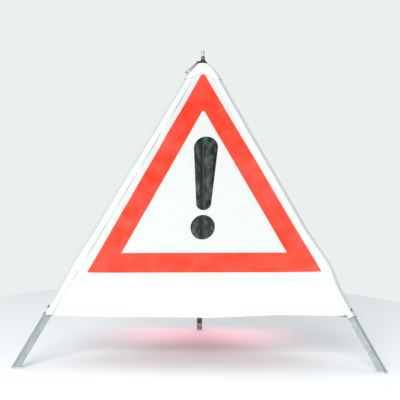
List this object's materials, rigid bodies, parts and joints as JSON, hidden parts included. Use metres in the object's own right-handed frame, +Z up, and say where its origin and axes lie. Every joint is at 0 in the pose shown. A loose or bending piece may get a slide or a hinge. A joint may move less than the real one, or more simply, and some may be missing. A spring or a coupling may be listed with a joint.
{
  "type": "folding warning triangle sign",
  "caption": "Folding three-sided roadside warning sign: printed fabric pyramid on a tripod of channel legs that fold like an umbrella.",
  "frame": {"origin": "on the floor, under the middle of the outer box of the spread feet", "axes": "+Z up, the front face looks along -Y, +X to the viewer's right along the front face"},
  "size_m": [1.0852, 0.9398, 0.975],
  "materials": {
    "galvanised_steel": "hot-dip galvanised, dull grey with a faint spangle",
    "bright_steel": "zinc-plated, satin",
    "dark_steel": "blackened",
    "cast_alloy": "as cast, matt",
    "black_plastic": "moulded, satin",
    "grey_plastic": "moulded, matt",
    "white_coated_fabric": "coated sign fabric with a red and black print, soft gloss",
    "bright_white_fabric": "coated retroreflective band, soft gloss"
  },
  "bodies": {
    "head": {"head_hub": "cast_alloy", "top_cap": "black_plastic", "leg_hinge_pin_front_left": "bright_steel", "leg_hinge_pin_front_right": "bright_steel", "leg_hinge_pin_rear": "bright_steel", "cover_crown": "white_coated_fabric", "cover_front": "white_coated_fabric", "cover_right": "white_coated_fabric", "cover_left": "white_coated_fabric", "skirt_front": "bright_white_fabric", "skirt_right": "bright_white_fabric", "skirt_left": "bright_white_fabric"},
    "leg_assembly_front_left": {"leg_front_left": "galvanised_steel", "foot_front_left": "grey_plastic", "leg_sleeve_front_left": "white_coated_fabric", "cover_rivet_front_left": "dark_steel", "strut_pin_front_left": "bright_steel"},
    "leg_assembly_front_right": {"leg_front_right": "galvanised_steel", "foot_front_right": "grey_plastic", "leg_sleeve_front_right": "white_coated_fabric", "cover_rivet_front_right": "dark_steel", "strut_pin_front_right": "bright_steel"},
    "leg_assembly_rear": {"leg_rear": "galvanised_steel", "foot_rear": "grey_plastic", "leg_sleeve_rear": "white_coated_fabric", "cover_rivet_rear": "dark_steel", "strut_pin_rear": "bright_steel"},
    "strut_body_front_left": {"strut_front_left": "galvanised_steel"},
    "strut_body_front_right": {"strut_front_right": "galvanised_steel"},
    "strut_body_rear": {"strut_rear": "galvanised_steel"},
    "rod_assembly": {"central_rod": "bright_steel", "rod_head": "bright_steel", "rod_stop_collar": "bright_steel", "spreader_hub": "cast_alloy", "spreader_collar": "bright_steel", "rod_nut": "bright_steel", "spreader_pin_front_left": "bright_steel", "spreader_pin_front_right": "bright_steel", "spreader_pin_rear": "bright_steel"},
    "loop": {"carry_loop": "bright_steel"}
  },
  "joints": [
    {"name": "leg_fold_front_left", "type": "hinge", "parent": "head", "child": "leg_assembly_front_left", "pos_m": [-0.03637, -0.17187, 0.89], "axis": [0.5, -0.866, 0], "range_deg": [0, 30.62]},
    {"name": "leg_fold_front_right", "type": "hinge", "parent": "head", "child": "leg_assembly_front_right", "pos_m": [0.03637, -0.17187, 0.89], "axis": [0.5, 0.866, 0], "range_deg": [0, 30.62]},
    {"name": "leg_fold_rear", "type": "hinge", "parent": "head", "child": "leg_assembly_rear", "pos_m": [0, -0.10887, 0.89], "axis": [-1, 0, 0], "range_deg": [0, 30.62]},
    {"name": "strut_swing_front_left", "type": "hinge", "parent": "leg_assembly_front_left", "child": "strut_body_front_left", "pos_m": [-0.17424, -0.25146, 0.6357], "axis": [0.5, -0.866, 0], "range_deg": [0, 12.92]},
    {"name": "strut_swing_front_right", "type": "hinge", "parent": "leg_assembly_front_right", "child": "strut_body_front_right", "pos_m": [0.17424, -0.25146, 0.6357], "axis": [0.5, 0.866, 0], "range_deg": [0, 12.92]},
    {"name": "strut_swing_rear", "type": "hinge", "parent": "leg_assembly_rear", "child": "strut_body_rear", "pos_m": [0, 0.05032, 0.6357], "axis": [-1, 0, 0], "range_deg": [0, 12.92]},
    {"name": "rod_slide", "type": "slide", "parent": "head", "child": "rod_assembly", "axis": [0, 0, 1], "range_m": [0, 0.0402]},
    {"name": "loop_swing", "type": "hinge", "parent": "head", "child": "loop", "pos_m": [-0.01689, -0.16062, 0.9358], "axis": [0.5, -0.866, 0], "range_deg": [-100, 0]}
  ],
  "couplings": [
    {"joint": "leg_fold_front_right", "follows": "leg_fold_front_left", "ratio": 1},
    {"joint": "leg_fold_rear", "follows": "leg_fold_front_left", "ratio": 1},
    {"joint": "strut_swing_front_left", "follows": "leg_fold_front_left", "ratio": 0.42137},
    {"joint": "strut_swing_front_right", "follows": "leg_fold_front_left", "ratio": 0.42137},
    {"joint": "strut_swing_rear", "follows": "leg_fold_front_left", "ratio": 0.42137},
    {"joint": "rod_slide", "follows": "leg_fold_front_left", "m_per_rad": 0.074968}
  ]
}
